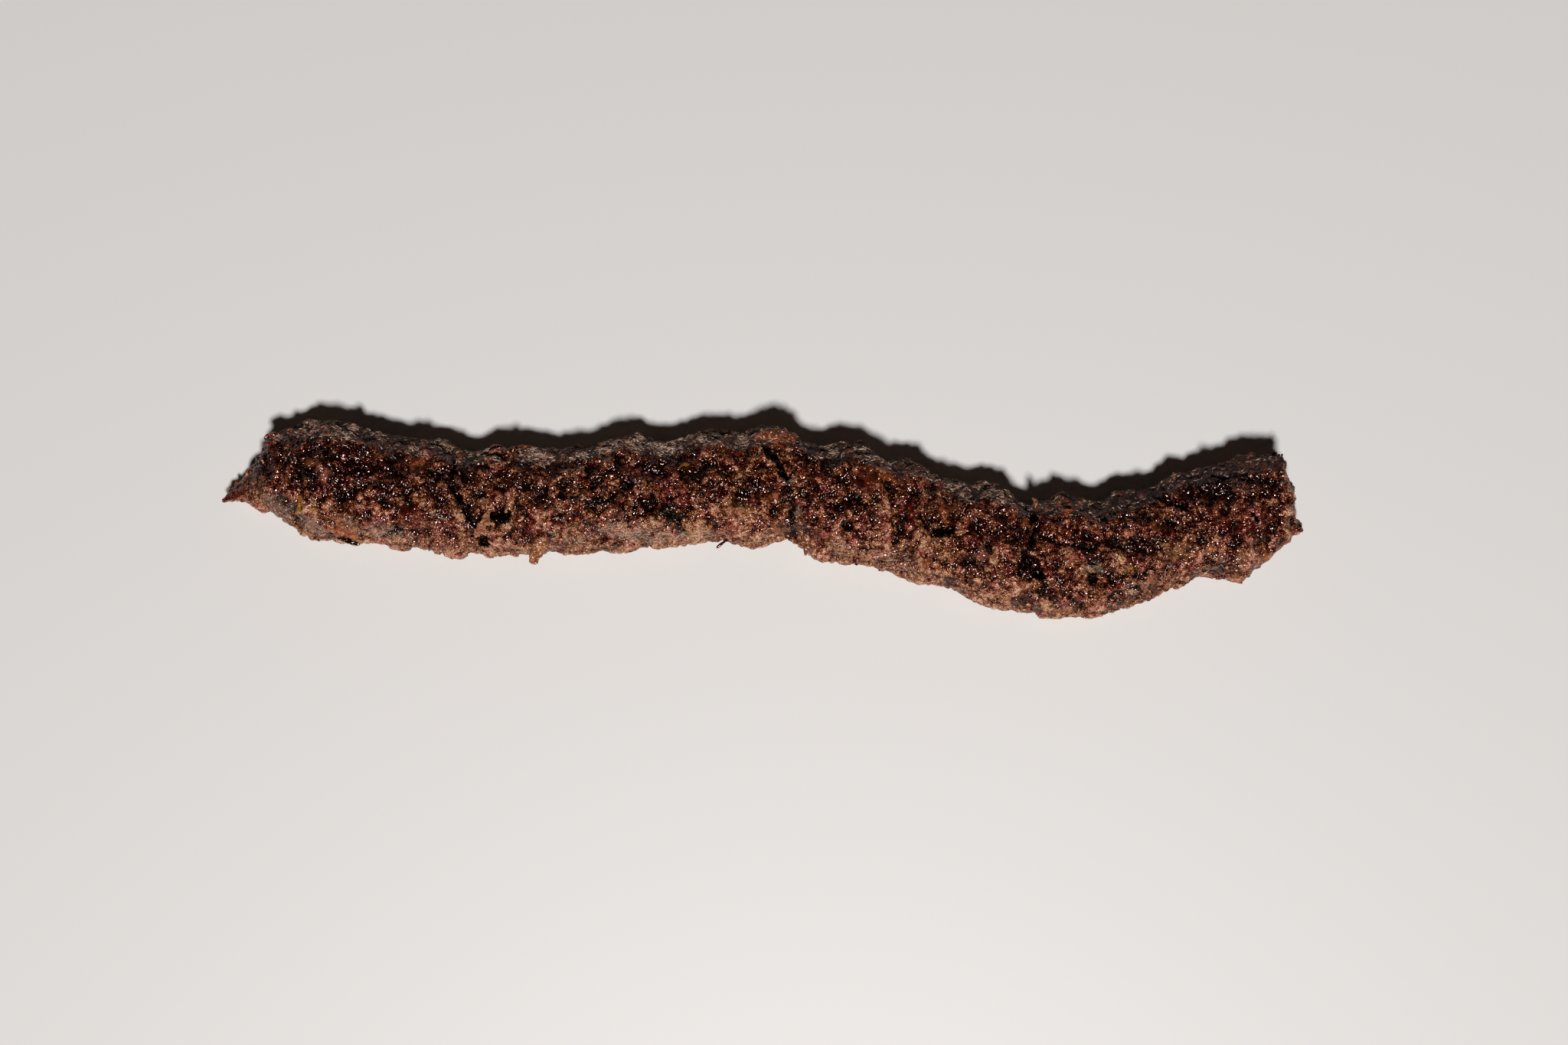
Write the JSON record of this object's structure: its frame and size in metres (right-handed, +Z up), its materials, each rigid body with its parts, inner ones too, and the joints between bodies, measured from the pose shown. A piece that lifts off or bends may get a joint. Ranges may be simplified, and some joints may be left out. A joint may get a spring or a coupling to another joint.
{
  "type": "koobideh kebab",
  "caption": "Long S-curved strip of grilled minced meat, pressed by fingers along a flat skewer and slid off it, with a craggy charred crust, splits and torn ends.",
  "frame": {"origin": "middle of the footprint, on the surface the strip lies on", "axes": "+X along the strip from its thin torn tip to its blunt end that curls up, +Y across it towards the scalloped side, +Z up"},
  "size_m": [0.3, 0.0554, 0.0205],
  "materials": {
    "grilled_meat": "uneven: moist and glinting on top, dry and charred in places, matte on the sides"
  },
  "bodies": {
    "root": {"kebab_meat": "grilled_meat"}
  },
  "joints": []
}
